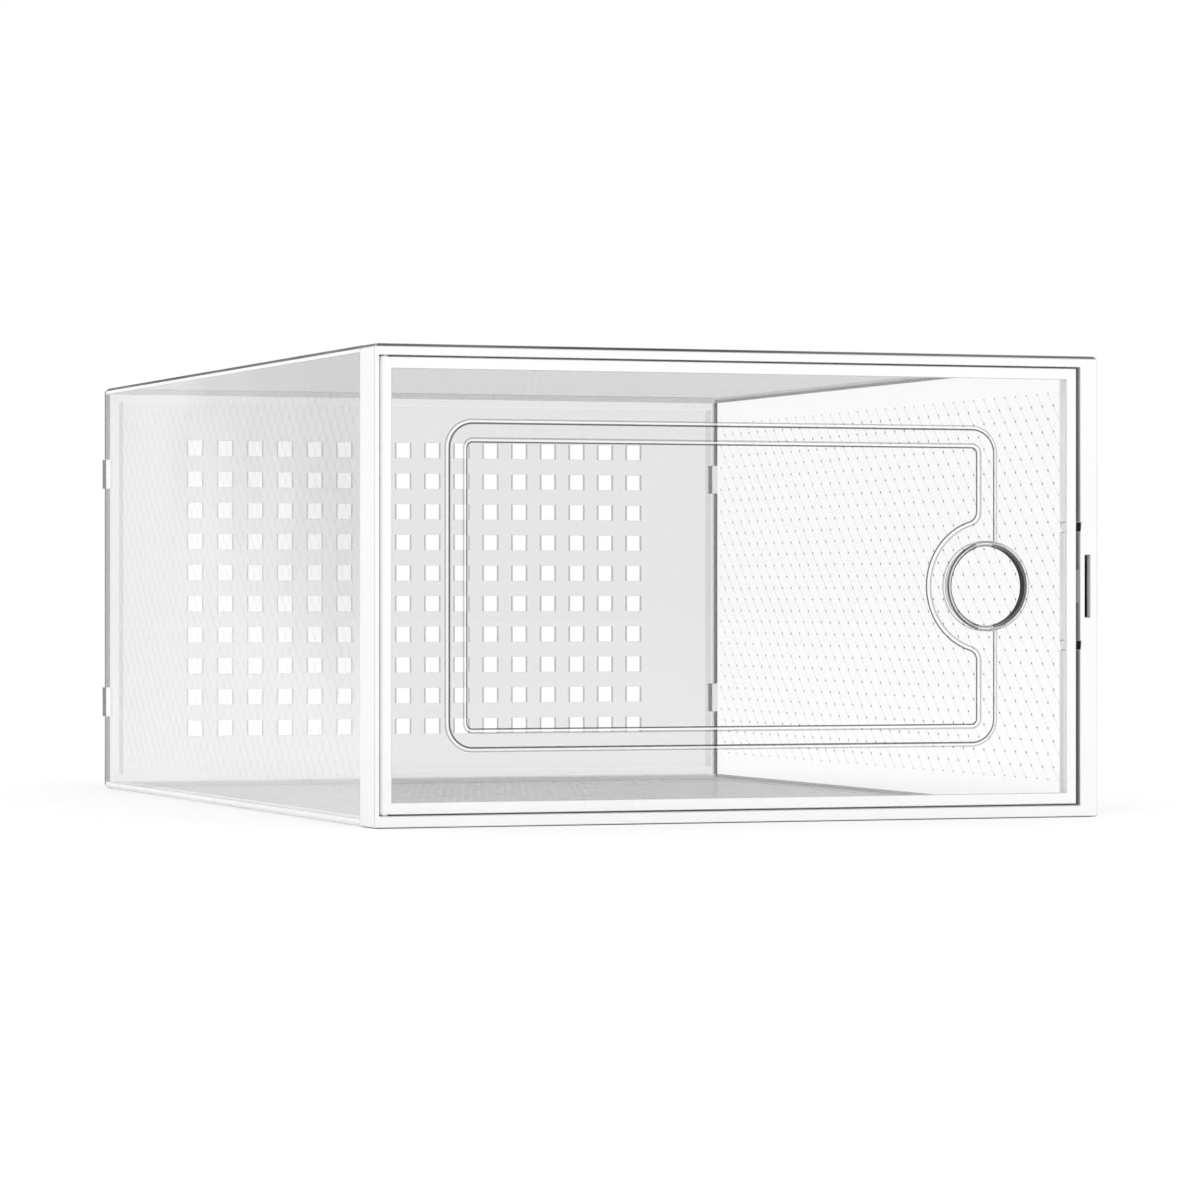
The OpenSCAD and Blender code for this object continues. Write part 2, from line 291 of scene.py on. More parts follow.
class Shell:
    """Gathers faces, each with a material, and makes one object of them."""

    def __init__(self):
        self.bm = bmesh.new()
        self.finishes = []

    def index(self, finish):
        if finish not in self.finishes:
            self.finishes.append(finish)
        return self.finishes.index(finish)

    def face(self, places, finish):
        face = self.bm.faces.new([self.bm.verts.new(at(*p)) for p in places])
        face.material_index = self.index(finish)
        return face

    def made(self, name, body, slot, *nodes):
        bmesh.ops.remove_doubles(self.bm, verts=self.bm.verts, dist=WELD)
        mend_seams(self.bm)
        bmesh.ops.recalc_face_normals(self.bm, faces=self.bm.faces)
        return placed(name, self.bm, self.finishes, body, nodes)


def mend_seams(bm):
    """Gives a face the points that its neighbours have along a shared edge, so that seams close."""
    seams = [edge for edge in bm.edges if len(edge.link_faces) == 1]
    points = {vert for edge in seams for vert in edge.verts}
    for edge in seams:
        start = edge.verts[0]
        foot, line = start.co.copy(), edge.verts[1].co - edge.verts[0].co
        shares = []
        for vert in points:
            share = (vert.co - foot).dot(line) / line.length_squared
            if WELD < share * line.length < line.length - WELD:
                if (foot + share * line - vert.co).length < WELD:
                    shares.append(share)
        done = 0
        for share in sorted(shares):
            _, start = bmesh.utils.edge_split(edge, start, (share - done) / (1 - done))
            done = share
    bmesh.ops.remove_doubles(bm, verts=bm.verts, dist=WELD)


def triangles(loops):
    """Fills the outermost loop. Gives the points, the input points each stands for, and each triangle
    with the numbers of the loops that it lies in."""
    points, faces = [], []
    for loop in loops:
        faces.append(list(range(len(points), len(points) + len(loop))))
        points += [Vector(p) for p in loop]
    places, _, tris, origins, _, around = delaunay_2d_cdt(points, [], faces, 0, FILL_ACCURACY)
    return places, origins, [(tri, numbers) for tri, numbers in zip(tris, around) if numbers]


def placed(name, bm, finishes, body, nodes):
    """Makes one visible piece of a mesh, in place of the CAD nodes."""
    mesh = bpy.data.meshes.new(name)
    bm.to_mesh(mesh)
    bm.free()
    piece = bpy.data.objects.new(name, mesh)
    SCENE.collection.objects.link(piece)
    for finish in finishes:
        mesh.materials.append(MATERIALS[finish])
    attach(piece, body)
    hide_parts(*nodes)
    return piece


def node_copy(node):
    """The CAD node's mesh, welded and with its flat faces made whole."""
    bm = bmesh.new()
    bm.from_mesh(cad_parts[node].data)
    bmesh.ops.remove_doubles(bm, verts=bm.verts, dist=WELD)
    bmesh.ops.dissolve_limit(bm, angle_limit=FLAT_TURN, verts=bm.verts, edges=bm.edges)
    for face in bm.faces:
        face.material_index = 0
        face.smooth = False
    return bm


def soften(piece, width, finish=-1):
    """Rounds the long moulded edges, in the finish of that number if one is given; on the frame and the
    door's rim that finish is a grey painted shade.
    """
    bm = bmesh.new()
    bm.from_mesh(piece.data)
    weight = bm.edges.layers.float.new("bevel_weight_edge")
    for edge in bm.edges:
        sharp = edge.is_manifold and edge.calc_face_angle() > SHARP
        edge[weight] = 1 if sharp and edge.calc_length() > LONG_EDGE * MM else 0
    for face in bm.faces:
        face.smooth = True
    bm.to_mesh(piece.data)
    bm.free()
    piece.data.set_sharp_from_angle(angle=SHARP)
    bevel = piece.modifiers.new("soft_edges", "BEVEL")
    bevel.width = width * MM
    bevel.segments = 2
    bevel.limit_method = "WEIGHT"
    bevel.use_clamp_overlap = False
    bevel.harden_normals = True
    bevel.material = finish


def local(co):
    """A mesh point back in millimetres from the front left bottom corner."""
    return (co - LOW) / MM


# ---- Front frame ----------------------------------------------------------------------------------

# Beside the white, the frame's finishes are painted shade: the top edge line, the slot, its lip, the
# gap round the door and the rounded edges
FRAME_FINISHES = ["frame", "frame_shade_line", "shade", "slot_lip_painted_shade", "gap_dark", "gap", "edge"]
TOLERANCE = 0.05                  # slack when a face is looked up by its place
SIDE_WALL = 0.1                   # a wall that runs front to back faces forward by less than this
SLOT_X = (BOX_W - 4.3, BOX_W - 2.5)         # the latch slot's left and right walls
SLOT_HALF = 9.5                   # half the slot's height
SLOT_LIGHT = 2.2                  # the slot's walls are painted as deep shade beyond this depth and as lighter shade in front of it
OPENING_RIGHT = BOX_W - 5.9       # right wall of the opening that the door fills
OPENING_LEFT = 1                  # the walls round the door lie to the right of this
OPENING_LOW = 3                   # and further than this from the top and the bottom
NOTCH_Z = 18                      # distance of a relief notch from the middle of the height
NOTCH_HALF = 1.5                  # half its height
NOTCH_DEPTH = 0.4                 # how far it cuts into the right wall
RIDGE_HALF = 5                    # half the catch ridge's height
RIDGE_REACH = 1                   # the ridge lies within this of the right wall


def near(value, goal):
    return abs(value - goal) < TOLERANCE


def between(value, low, high):
    return low - TOLERANCE < value < high + TOLERANCE


def in_slot(c):
    return between(c.x, *SLOT_X) and abs(c.z - MID_Z) < SLOT_HALF + TOLERANCE


def on_ridge(c):
    beside = OPENING_RIGHT - RIDGE_REACH < c.x < OPENING_RIGHT - SEAM
    return beside and abs(c.z - MID_Z) < RIDGE_HALF + TOLERANCE and c.y < PANE_HIGH.y


def in_opening(c):
    """Whether a point lies on the walls that face the door's edges."""
    return between(c.x, OPENING_LEFT, OPENING_RIGHT) and OPENING_LOW < c.z < BOX_H - OPENING_LOW


def in_notch(c):
    beside = between(c.x, OPENING_RIGHT, OPENING_RIGHT + NOTCH_DEPTH)
    return beside and abs(abs(c.z - MID_Z) - NOTCH_Z) < NOTCH_HALF + TOLERANCE


def split_walls(bm, chosen, y):
    """Parts the chosen faces that run front to back at a depth."""
    walls = [f for f in bm.faces
             if abs(f.normal.y) < SIDE_WALL and chosen(local(f.calc_center_median()))]
    parts = walls + [e for f in walls for e in f.edges] + [v for f in walls for v in f.verts]
    bmesh.ops.bisect_plane(bm, geom=list(dict.fromkeys(parts)), plane_co=at(0, y, 0),
                           plane_no=Vector((0, 1, 0)))


def on_top_rim(edge):
    """Whether an edge is the front, left or right one of the frame's top."""
    ends = [local(v.co) for v in edge.verts]
    on_top = all(near(c.z, BOX_H) for c in ends)
    sides = [[c.y for c in ends], [c.x for c in ends], [BOX_W - c.x for c in ends]]
    return on_top and any(all(near(place, 0) for place in side) for side in sides)


def front_frame():
    bm = node_copy("front_frame")
    top = [edge for edge in bm.edges if on_top_rim(edge)]
    # The chamfer round the frame's top takes a painted dark shade line
    bmesh.ops.bevel(bm, geom=top, offset=LINE_CHAMFER * MM, segments=1, affect="EDGES",
                    material=FRAME_FINISHES.index("frame_shade_line"), clamp_overlap=False)
    split_walls(bm, in_slot, SLOT_LIGHT)
    split_walls(bm, in_notch, PANE_HIGH.y)
    for face in bm.faces:
        finish = frame_finish(local(face.calc_center_median()), face.normal)
        if finish:
            face.material_index = FRAME_FINISHES.index(finish)
    piece = placed("front_frame_moulding", bm, FRAME_FINISHES, "box", ["front_frame"])
    soften(piece, SOFT_EDGE, FRAME_FINISHES.index("edge"))


def frame_finish(centre, normal):
    """The painted shade of a wall in a slot, a notch or the gap round the door; none elsewhere."""
    if on_ridge(centre):
        return "gap_dark"
    if abs(normal.y) > SIDE_WALL:
        return None
    if in_slot(centre):
        return "shade" if centre.y > SLOT_LIGHT else "slot_lip_painted_shade"
    if centre.y > PANE_HIGH.y:
        return None
    if in_notch(centre):
        return "shade"
    if in_opening(centre):
        return "gap_dark" if centre.x > OPENING_RIGHT - RIDGE_REACH else "gap"
    return None


# ---- Door -----------------------------------------------------------------------------------------

RIM_FINISHES = ["rim", "edge"]
BAND_ARC_STEPS = 14               # steps of each corner of the band's outer outline
FIELD_ARC_STEPS = 8               # and of its inner one
BULGE_STEPS = 44
COLLAR_STEPS = 96
LEAST_TURN = 0.008                # collar points closer than this angle are one, in radians
FAINT_FROM, FAINT_TO = -0.3, 0.12           # the collar's painted shade is faint between these, from -1 to 1 across
RING_SLACK = 0.01                 # mm


def door_rim():
    bm = node_copy("door_frame")
    piece = placed("door_rim_moulding", bm, RIM_FINISHES, "door", ["door_frame"])
    soften(piece, SOFT_EDGE, RIM_FINISHES.index("edge"))


def arc(centre, radius, start, end, steps):
    """Points from start to end, in degrees, both included."""
    turn = [math.radians(start + (end - start) * i / steps) for i in range(steps + 1)]
    return [(centre[0] + radius * math.cos(a), centre[1] + radius * math.sin(a)) for a in turn]


def band_outer(run):
    """The band's outer outline, moved in by run."""
    low, r = BAND_INSET + run, BAND_CORNER_R - run
    right, top = BAND_RIGHT - run, BOX_H - BAND_INSET - run
    corners = [(right - r, low + r), (right - r, top - r), (low + r, top - r), (low + r, low + r)]
    outline = []
    for turn, corner in enumerate(corners):
        outline += arc(corner, r, 90 * turn - 90, 90 * turn, BAND_ARC_STEPS)
    return outline


def band_inner(run):
    """The outline of the field inside the band, moved out by run, with the bulge round the hole."""
    low, r = BAND_INSET + BAND_W - run, BAND_CORNER_R - BAND_W + run
    right, top = BAND_RIGHT - BAND_W + run, BOX_H - BAND_INSET - BAND_W + run
    fillet_x = BAND_RIGHT - BAND_W - FILLET_R
    rise = math.sqrt((BULGE_R + FILLET_R) ** 2 - (HOLE_X - fillet_x) ** 2)
    lean = math.degrees(math.atan2(rise, HOLE_X - fillet_x))
    steps = FIELD_ARC_STEPS
    lower = arc((fillet_x, MID_Z - rise), FILLET_R + run, 0, lean, steps)
    bulge = arc((HOLE_X, MID_Z), BULGE_R - run, 180 + lean, 180 - lean, BULGE_STEPS)
    upper = arc((fillet_x, MID_Z + rise), FILLET_R + run, -lean, 0, steps)
    return (arc((right - r, low + r), r, -90, 0, steps) + lower + bulge[1:-1] + upper
            + arc((right - r, top - r), r, 0, 90, steps) + arc((low + r, top - r), r, 90, 180, steps)
            + arc((low + r, low + r), r, 180, 270, steps))


def slope_rise(run):
    """Height of the band's edge at a distance in from its foot."""
    for (a, low), (b, high) in zip(SLOPE, SLOPE[1:]):
        if run <= b:
            return low + (high - low) * max(run - a, 0) / (b - a)
    return BAND_RISE


def collar_angles():
    """Even steps round the collar, with the points where the band's edge meets it."""
    meets = [math.acos((BAND_RIGHT - run - HOLE_X) / COLLAR_R) for run, _ in SLOPE]
    even = [2 * math.pi * i / COLLAR_STEPS for i in range(COLLAR_STEPS)]
    turns = even + meets + [2 * math.pi - a for a in meets]
    kept = []
    for a in sorted(turns):
        if not kept or a - kept[-1] > LEAST_TURN or a in meets:
            kept.append(a)
    return kept


def circle(radius, angles):
    return [(HOLE_X + radius * math.cos(a), MID_Z + radius * math.sin(a)) for a in angles]


def pane_front(shell, plate_y, corners, ring):
    """The pane's front face: the raised band with its sloping edges, open where the collar stands; each
    slope carries a painted highlight between painted dark shade lines.
    """
    runs = [run for run, _ in SLOPE]
    loops = [corners] + [band_outer(r) for r in runs] + [band_inner(r) for r in runs] + [ring]
    rises = [0] + [rise for _, rise in SLOPE] * 2 + [None]
    level = [rise for loop, rise in zip(loops, rises) for _ in loop]
    places, origins, tris = triangles(loops)
    verts = []
    for place, origin in zip(places, origins):
        rise = level[origin[0]] if origin else None
        if rise is None or math.hypot(place.x - HOLE_X, place.y - MID_Z) < COLLAR_R + RING_SLACK:
            rise = slope_rise(BAND_RIGHT - place.x)
        verts.append(shell.bm.verts.new(at(place.x, plate_y - rise, place.y)))
    count = len(SLOPE)
    # Across each slope: painted shade lines and a painted highlight
    outer_finish = ["line_faint", "slope", "line_dark"]
    inner_finish = ["line_dark", "slope", "line_faint"]
    # A triangle's finish depends on how many of the nested outlines lie round it
    for tri, loops_round in tris:
        if 2 * count + 1 in loops_round:
            continue
        deep = sum(1 for i in range(1, count + 1) if i in loops_round)
        past = sum(1 for i in range(count + 1, 2 * count + 1) if i in loops_round)
        if deep == 0 or past == count or (deep == count and past == 0):
            finish = "pane"
        elif past == 0:
            finish = outer_finish[deep - 1]
        else:
            finish = inner_finish[count - 1 - past]
        face = shell.bm.faces.new([verts[i] for i in tri])
        face.material_index = shell.index(finish)


def collar_finishes(side):
    """Finishes of the collar's wall, its front bevel and its outer bevel. side runs from -1 at its left
    to 1 at its right; its right wall and its left bevels are painted dark as shade, and between them
    the painted shade is faint."""
    if side > FAINT_TO:
        return "collar", "line_dark", "line_faint"
    if side > FAINT_FROM:
        return "collar_faint", "line_faint", "line_faint"
    return "collar_faint", "line_dark", "line_dark"


def collar_tube(shell, plate_y, angles):
    """The ring round the finger hole, which runs on behind the pane."""
    front, rear, back_y = plate_y - BAND_RISE, PANE_HIGH.y, plate_y + PANE_T
    front_lip, rear_lip = front + COLLAR_LIP, rear - COLLAR_LIP
    outer, inner = circle(COLLAR_R, angles), circle(HOLE_R, angles)
    outer_in, inner_in = circle(COLLAR_R - COLLAR_LIP, angles), circle(HOLE_R + COLLAR_LIP, angles)
    for i, a in enumerate(angles):
        j = (i + 1) % len(angles)
        wall, bevel, rim = collar_finishes(math.cos(a))
        foot = [plate_y - slope_rise(BAND_RIGHT - outer[k][0]) for k in (i, j)]

        def strip(loop, y, next_loop, next_y, finish):
            shell.face([(loop[i][0], y[0], loop[i][1]), (loop[j][0], y[1], loop[j][1]),
                        (next_loop[j][0], next_y[1], next_loop[j][1]),
                        (next_loop[i][0], next_y[0], next_loop[i][1])], finish)

        strip(outer, foot, outer_in, (front, front), rim)
        strip(outer_in, (front, front), inner_in, (front, front), "pane")
        strip(inner_in, (front, front), inner, (front_lip, front_lip), bevel)
        strip(inner, (front_lip, front_lip), inner, (rear_lip, rear_lip), wall)
        strip(inner, (rear_lip, rear_lip), inner_in, (rear, rear), "line_faint")
        strip(inner_in, (rear, rear), outer_in, (rear, rear), "pane")
        strip(outer_in, (rear, rear), outer, (rear_lip, rear_lip), "line_faint")
        strip(outer, (rear_lip, rear_lip), outer, (back_y, back_y), "collar_faint")


def door_pane():
    shell = Shell()
    plate_y = PANE_LOW.y + BAND_RISE
    corners = [(PANE_LOW.x, PANE_LOW.z), (PANE_HIGH.x, PANE_LOW.z), (PANE_HIGH.x, PANE_HIGH.z),
               (PANE_LOW.x, PANE_HIGH.z)]
    angles = collar_angles()
    ring = circle(COLLAR_R, angles)
    pane_front(shell, plate_y, corners, ring)
    collar_tube(shell, plate_y, angles)
    back_y = plate_y + PANE_T
    places, _, tris = triangles([corners, ring])
    for tri, loops_round in tris:
        if 1 not in loops_round:
            shell.face([(places[i].x, back_y, places[i].y) for i in tri], "pane")
    for (a, b) in zip(corners, corners[1:] + corners[:1]):
        shell.face([(a[0], plate_y, a[1]), (b[0], plate_y, b[1]), (b[0], back_y, b[1]),
                    (a[0], back_y, a[1])], "line_faint")
    shell.made("door_pane_moulding", "door", "door_clear", "door_pane")


# ---- Embossed panels ------------------------------------------------------------------------------

def lattice_counts(length, height):
    """Half periods of the embossing that fit each way, and where the first one starts."""
    half = LATTICE_PITCH / 2
    across = 2 * int((length - 2 * LATTICE_MARGIN) / LATTICE_PITCH)
    up = 2 * int((height - 2 * LATTICE_MARGIN) / LATTICE_PITCH)
    return across, up, (length - across * half) / 2, (height - up * half) / 2


def lattice_cell(i, j, across, up):
    """Corners of one diamond, clipped at the field's border, in half periods."""
    corners = [(i, j - 1), (i + 1, j), (i, j + 1), (i - 1, j)]
    return [c for c in corners if 0 <= c[0] <= across and 0 <= c[1] <= up]


def emboss(shell, place, length, height, plain, lines):
    """A field of diamonds parted by fine grooves, with a plain margin. place maps (s, t, depth) to
    (u, y, z), and lines are the finishes of the rising grooves, the falling ones and the crossings."""
    across, up, s0, t0 = lattice_counts(length, height)
    half = LATTICE_PITCH / 2

    def corner(i, j):
        on_border = i in (0, across) or j in (0, up)
        return s0 + i * half, t0 + j * half, 0 if on_border else GROOVE_DEPTH

    for i in range(across + 1):
        for j in range(up + 1):
            if (i + j) % 2:
                corners = [corner(*c) for c in lattice_cell(i, j, across, up)]
                diamond(shell, place, corner(i, j), corners, plain, lines)
    margin(shell, place, corner(0, 0), corner(across, up), (across, up), (length, height), plain)


def diamond(shell, place, centre, corners, plain, lines):
    """One raised diamond and its share of the grooves round it. Corners are (s, t, depth)."""
    rising_line, falling_line, crossing = lines
    tops = [(*toward(c, centre), 0) for c in corners]
    shell.face([place(*p) for p in tops], plain)
    for k, a in enumerate(corners):
        n = (k + 1) % len(corners)
        b = corners[n]
        if a[0] == b[0] or a[1] == b[1]:
            continue
        step = GROOVE_W / math.hypot(b[0] - a[0], b[1] - a[1])
        run, climb = (b[0] - a[0]) * step, (b[1] - a[1]) * step
        near_a = (a[0] + run, a[1] + climb, GROOVE_DEPTH)
        near_b = (b[0] - run, b[1] - climb, GROOVE_DEPTH)
        line = rising_line if run * climb > 0 else falling_line
        shell.face([place(*near_a), place(*near_b), place(*tops[n]), place(*tops[k])], line)
        shell.face([place(*a), place(*near_a), place(*tops[k])], crossing)
        shell.face([place(*b), place(*tops[n]), place(*near_b)], crossing)


def toward(corner, centre):
    """A diamond's corner moved in along its diagonal by the width of the groove."""
    return [c + math.copysign(CROSSING_INSET, m - c) if m != c else c
            for c, m in zip(corner[:2], centre[:2])]


def margin(shell, place, low, high, counts, size, plain):
    """The plain margin: one strip a side, sharing the field's border points."""
    def stops(start, count):
        line = [(n, d) for n in range(0, count + 1, 2) for d in (-CROSSING_INSET, 0, CROSSING_INSET)]
        return [start + n * LATTICE_PITCH / 2 + d for n, d in line[1:-1]]

    def strip(points):
        shell.face([place(s, t, 0) for s, t in points], plain)

    length, height = size
    ss, ts = stops(low[0], counts[0]), stops(low[1], counts[1])
    strip([(0, 0), (length, 0)] + [(s, low[1]) for s in reversed(ss)])
    strip([(length, height), (0, height)] + [(s, high[1]) for s in ss])
    strip([(0, height), (0, 0)] + [(low[0], t) for t in ts])
    strip([(length, 0), (length, height)] + [(high[0], t) for t in reversed(ts)])


def skin(shell, place, outline, ends, embossed, plain, lines):
    """The long faces of a profile between two depths, with the embossing on the side of that number.
    An outline point is (a, b, finish of the side that starts there)."""
    y0, y1 = ends
    for k, (a, b, finish) in enumerate(outline):
        c, d, _ = outline[(k + 1) % len(outline)]
        if k != embossed:
            shell.face([place(a, y0, b), place(c, y0, d), place(c, y1, d), place(a, y1, b)], finish)
            continue
        height = math.hypot(c - a, d - b)
        da, db = (c - a) / height, (d - b) / height

        def on_face(s, t, depth, a=a, b=b, da=da, db=db):
            return place(a + da * t - db * depth, y0 + s, b + db * t + da * depth)

        emboss(shell, on_face, y1 - y0, height, plain, lines)


def cap(shell, place, outline, y, finish, roots, dark=None):
    """Closes a profile's end, but for the roots of its tabs. dark outlines a painted dark shade line on
    it.
    """
    loops = [[p[:2] for p in outline]] + roots + ([dark] if dark else [])
    places, _, tris = triangles(loops)
    root_numbers = set(range(1, len(roots) + 1))
    for tri, loops_round in tris:
        if 0 not in loops_round or root_numbers.intersection(loops_round):
            continue
        lined = dark and len(roots) + 1 in loops_round
        face_finish = "end_line" if lined else finish
        shell.face([place(places[i].x, y, places[i].y) for i in tri], face_finish)


def rectangle(us, zs):
    return [(us[0], zs[0]), (us[1], zs[0]), (us[1], zs[1]), (us[0], zs[1])]


def front_tab(shell, place, us, zs, root):
    """A bar that sits in the frame. It has no face at its root."""
    front = FRAME_D - FRONT_TAB_L
    ring = rectangle(us, zs)
    for (a, b), (c, d) in zip(ring, ring[1:] + ring[:1]):
        side = [place(a, front, b), place(c, front, d), place(c, root, d), place(a, root, b)]
        shell.face(side, "tab")
    shell.face([place(a, front, b) for a, b in ring], "tab")


def rear_tab(shell, place, zs, root):
    """A tab that comes out through the back panel, with its barb. It has no face at its root."""
    # The tab's end bevel and its top and bottom faces are painted dark as shade lines
    hook = BACK_END + FIT
    outline = [
        (PANEL_T, root, "tab"), (PANEL_T, hook, "tab"), (PANEL_T + BARB, hook, "tab"),
        (PANEL_T + BARB, hook + BARB / 2, "tab"), (PANEL_T, TAB_END, "tab"),
        (END_LINE_W, TAB_END, "tab_shade_line"), (TAB_BEVEL, TAB_END, "tab_shade_line"),
        (0, TAB_END - TAB_BEVEL, "tab"), (0, root, None),
    ]
    low, high = zs
    for (a, y, finish), (c, w, _) in zip(outline, outline[1:]):
        shell.face([place(a, y, low), place(c, w, low), place(c, w, high), place(a, y, high)], finish)
    for edge in zs:
        shell.face([place(a, y, edge) for a, y, _ in outline], "tab_shade_line")


def side_panel(name, node, mirrored, outside, lines):
    """A side panel, drawn at the left and mirrored for the right."""
    shell = Shell()

    def place(u, y, z):
        return (BOX_W - u if mirrored else u, y, z)

    low, high = PANEL_T, BOX_H - PANEL_T
    t0, t1 = (PANEL_T - TONGUE_T) / 2, (PANEL_T + TONGUE_T) / 2
    outline = [
        (0, high, outside), (0, low, "panel_end"),
        (t0, low, "panel_end"), (t0, low - TONGUE_L, "panel_end"), (t1, low - TONGUE_L, "panel_end"),
        (t1, low, "panel_end"), (PANEL_T, low, "panel"), (PANEL_T, high, "panel_end"),
        (t1, high, "panel_end"), (t1, high + TONGUE_L, "panel_end"), (t0, high + TONGUE_L, "panel_end"),
        (t0, high, "panel_end"),
    ]
    front, rear = FRAME_D + SEAM, PANEL_END - SEAM
    inner_face = 6
    skin(shell, place, outline, (front, rear), inner_face, "panel", lines)
    tab_us = (PANEL_T - FIT - TONGUE_T, PANEL_T - FIT)
    spans = [(z - TAB_H / 2, z + TAB_H / 2) for z in (TAB_INSET, BOX_H - TAB_INSET)]
    cap(shell, place, outline, front, "panel_end", [rectangle(tab_us, zs) for zs in spans])
    cap(shell, place, outline, rear, "panel", [rectangle((0, PANEL_T), zs) for zs in spans],
        dark=rectangle((0, END_LINE_W), (low, high)))
    for zs in spans:
        front_tab(shell, place, tab_us, zs, front)
        rear_tab(shell, place, zs, rear)
    shell.made(name, "box", "panel_clear", node)


def flat_panel(name, node, flipped, plain, lines):
    """The top panel, or flipped, the bottom panel; embossed on its inner face."""
    shell = Shell()

    def place(u, y, z):
        return (u, y, BOX_H - z if flipped else z)

    inner, outer, soft = BOX_H - PANEL_T, BOX_H, LINE_CHAMFER
    roof = inner + TONGUE_L + FIT
    g0, g1 = (PANEL_T - TONGUE_T) / 2 - FIT, (PANEL_T + TONGUE_T) / 2 + FIT
    # The top sheet's chamfers take painted dark shade lines, softer at the right; the bottom sheet's
    # stay plain edges
    left, right = ("panel_edge", "panel_edge") if flipped else ("panel_shade_line", "line_soft")
    outline = [
        (0, inner, "panel_edge"), (g0, inner, "panel_end"), (g0, roof, "panel_end"),
        (g1, roof, "panel_end"), (g1, inner, plain), (BOX_W - g1, inner, "panel_end"),
        (BOX_W - g1, roof, "panel_end"), (BOX_W - g0, roof, "panel_end"),
        (BOX_W - g0, inner, "panel_edge"), (BOX_W, inner, "panel_edge"),
        (BOX_W, outer - soft, right), (BOX_W - soft, outer, plain),
        (soft, outer, left), (0, outer - soft, "panel_edge"),
    ]
    front, rear = FRAME_D + SEAM, PANEL_END - SEAM
    inner_face = 4
    skin(shell, place, outline, (front, rear), inner_face, plain, lines)
    middles = (BOX_W / 2 - RAIL_TAB_X, BOX_W / 2 + RAIL_TAB_X)
    spans = [(u - RAIL_TAB_W / 2, u + RAIL_TAB_W / 2) for u in middles]
    tab_zs = (inner + FIT, inner + FIT + TONGUE_T)
    cap(shell, place, outline, front, "panel_end", [rectangle(us, tab_zs) for us in spans])
    cap(shell, place, outline, rear, "panel_end", [])
    for us in spans:
        front_tab(shell, place, us, tab_zs, front)
    shell.made(name, "box", "panel_clear", node)


# ---- Back panel -----------------------------------------------------------------------------------

BACK_FINISHES = ["back", "ring", "ring_wall", "vent_wall_painted_shade", "end_line", "panel_end"]
NOTCH_REACH = 5                   # the notches for the rear tabs lie within this of the sides
FACING = 0.5                      # a face that turns one way by more than this looks that way


def faces_inside(centre, normal):
    """Whether a side wall of the locating ring looks toward the middle of the box, where it is painted
    darker as shade.
    """
    return abs(normal.x) > FACING and normal.x * (BOX_W / 2 - centre.x) > 0


def on_rim(c):
    """Whether a point is on one of the back panel's four outer edges."""
    return min(c.x, BOX_W - c.x, c.z, BOX_H - c.z) < 2 * TOLERANCE


def back_finish(centre, normal):
    # Inward ring walls, the outer edges and the vents' walls are painted darker as shade
    if centre.y < PANEL_END - 2 * TOLERANCE:
        return "ring_wall" if faces_inside(centre, normal) else "ring"
    if abs(normal.y) > FACING:
        return "back"
    if on_rim(centre):
        return "end_line"
    in_notch_zone = min(centre.x, BOX_W - centre.x) < NOTCH_REACH
    return "panel_end" if in_notch_zone else "vent_wall_painted_shade"


def back_panel():
    bm = node_copy("back_panel")
    for face in bm.faces:
        finish = back_finish(local(face.calc_center_median()), face.normal)
        face.material_index = BACK_FINISHES.index(finish)
    piece = placed("back_panel_moulding", bm, BACK_FINISHES, "box", ["back_panel"])
    soften(piece, BACK_SOFT_EDGE)


# ---- Studio ---------------------------------------------------------------------------------------

CAMERA_AT = Vector((-0.5225, -1.4863, 0.0658))
CAMERA_YAW = 19.8                 # degrees to the right of straight on
CAMERA_LENS = 144
FLOOR_HALF = 12                   # metres
FLOOR_DROP = 0.0002               # keeps the floor just off the box's underside
SKY_HEIGHTS = (0.35, 0.95)        # the world brightens between these, where 1 is straight overhead
SKY_GREYS = (0.93, 1.0)
SKY_STRENGTH = 1.08
LIGHT_AIM = Vector((0, 0, 0.07))
LIGHTS = [                        # name, place, side of the square in metres, power in watts
    ("key_light", Vector((-1.2, -2.2, 1.6)), 1.4, 7),
    ("fill_light", Vector((1.6, -1.4, 1.2)), 1.6, 1.5),
]
BOUNCES = 10
CLEAR_LAYERS = 48                 # clear faces that a ray may pass through


def studio_camera():
    data = bpy.data.cameras.new("studio_camera")
    data.lens = CAMERA_LENS
    data.sensor_width = 36
    data.clip_start = 0.05
    data.clip_end = 50
    camera = bpy.data.objects.new("studio_camera", data)
    camera.location = CAMERA_AT
    camera.rotation_euler = (math.radians(90), 0, -math.radians(CAMERA_YAW))
    SCENE.collection.objects.link(camera)
    SCENE.camera = camera


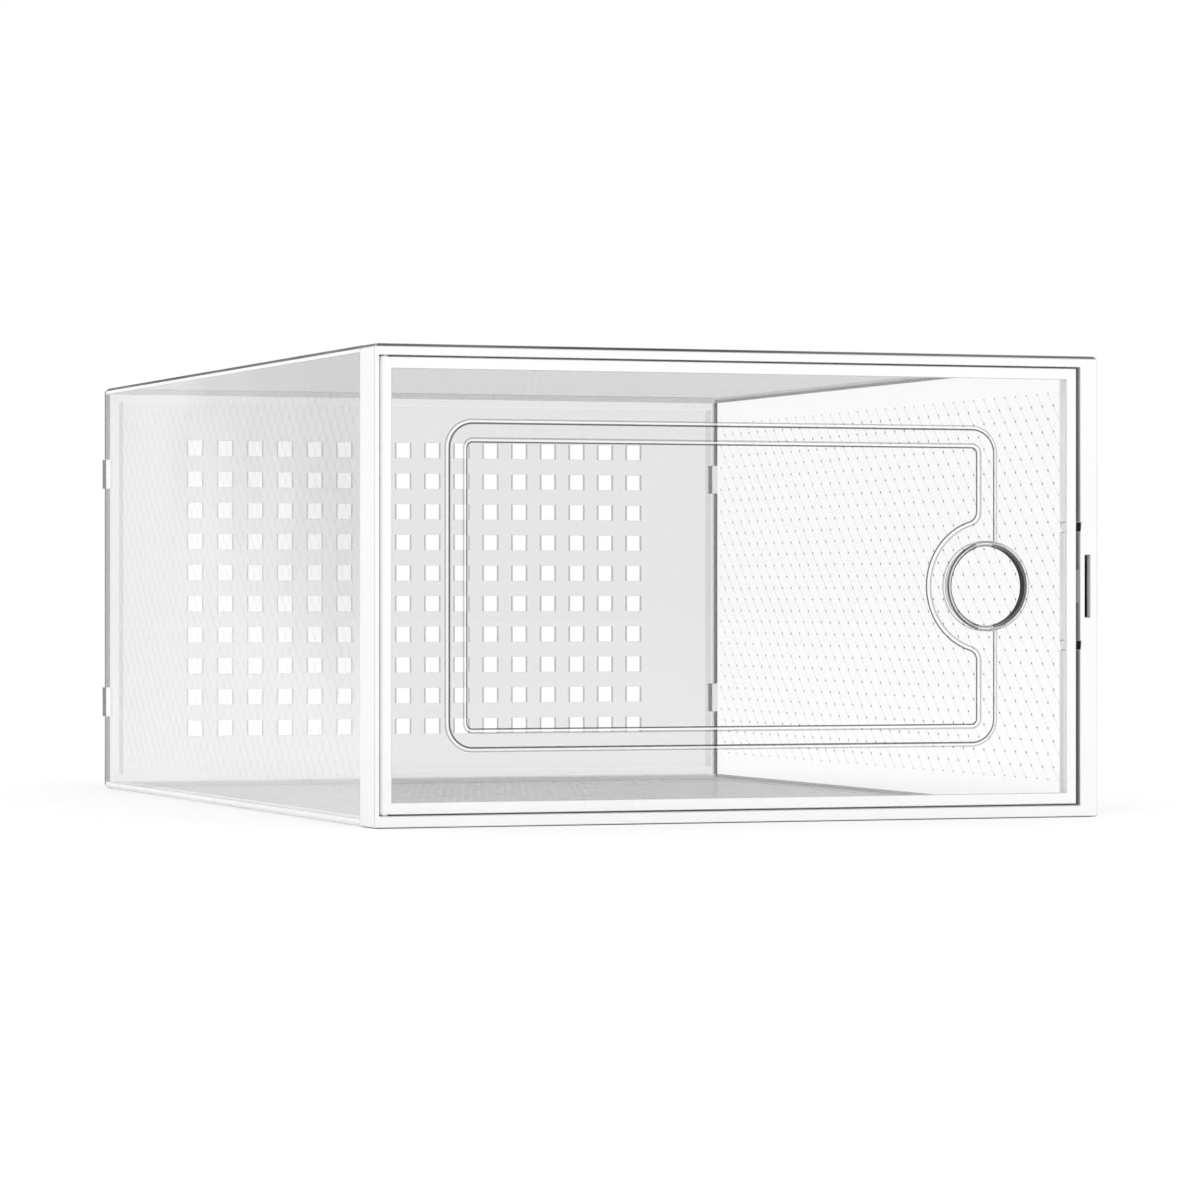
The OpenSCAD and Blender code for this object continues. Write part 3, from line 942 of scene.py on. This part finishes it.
def studio_floor():
    mesh = bpy.data.meshes.new("studio_floor")
    side = FLOOR_HALF
    mesh.from_pydata([(-side, -side, 0), (side, -side, 0), (side, side, 0), (-side, side, 0)], [],
                     [(0, 1, 2, 3)])
    floor = bpy.data.objects.new("studio_floor", mesh)
    floor.location.z = -FLOOR_DROP
    SCENE.collection.objects.link(floor)
    mesh.materials.append(plastic("floor_pale", 0.975, roughness=0.9, mottle=0.003))


def studio_world():
    """White round the horizon and a little brighter overhead."""
    world = bpy.data.worlds.new("studio_world")
    SCENE.world = world
    world.use_nodes = True
    nodes, links = world.node_tree.nodes, world.node_tree.links
    background = nodes["Background"]
    coords = nodes.new("ShaderNodeTexCoord")
    split = nodes.new("ShaderNodeSeparateXYZ")
    ramp = nodes.new("ShaderNodeValToRGB")
    links.new(coords.outputs["Generated"], split.inputs["Vector"])
    links.new(split.outputs["Z"], ramp.inputs["Fac"])
    links.new(ramp.outputs["Color"], background.inputs["Color"])
    for stop, height, grey in zip(ramp.color_ramp.elements, SKY_HEIGHTS, SKY_GREYS):
        stop.position = height
        stop.color = (grey, grey, grey, 1)
    background.inputs["Strength"].default_value = SKY_STRENGTH


def soft_light(name, place, size, power):
    data = bpy.data.lights.new(name, "AREA")
    data.shape = "SQUARE"
    data.size = size
    data.energy = power
    light = bpy.data.objects.new(name, data)
    light.location = place
    light.rotation_euler = (LIGHT_AIM - place).to_track_quat("-Z", "Y").to_euler()
    SCENE.collection.objects.link(light)


def studio():
    studio_camera()
    studio_floor()
    studio_world()
    for name, place, size, power in LIGHTS:
        soft_light(name, place, size, power)
    SCENE.view_settings.view_transform = "Standard"
    SCENE.view_settings.look = "None"
    SCENE.cycles.max_bounces = BOUNCES
    SCENE.cycles.transparent_max_bounces = CLEAR_LAYERS


studio()
front_frame()
door_rim()
door_pane()
side_panel("left_side_sheet", "left_side_panel", False, "painted_sheen_veil", LEFT_LINES)
side_panel("right_side_sheet", "right_side_panel", True, "panel", RIGHT_LINES)
flat_panel("top_sheet", "top_panel", False, "roof_panel", ROOF_LINES)
flat_panel("bottom_sheet", "bottom_panel", True, "floor_panel", FLOOR_LINES)
back_panel()
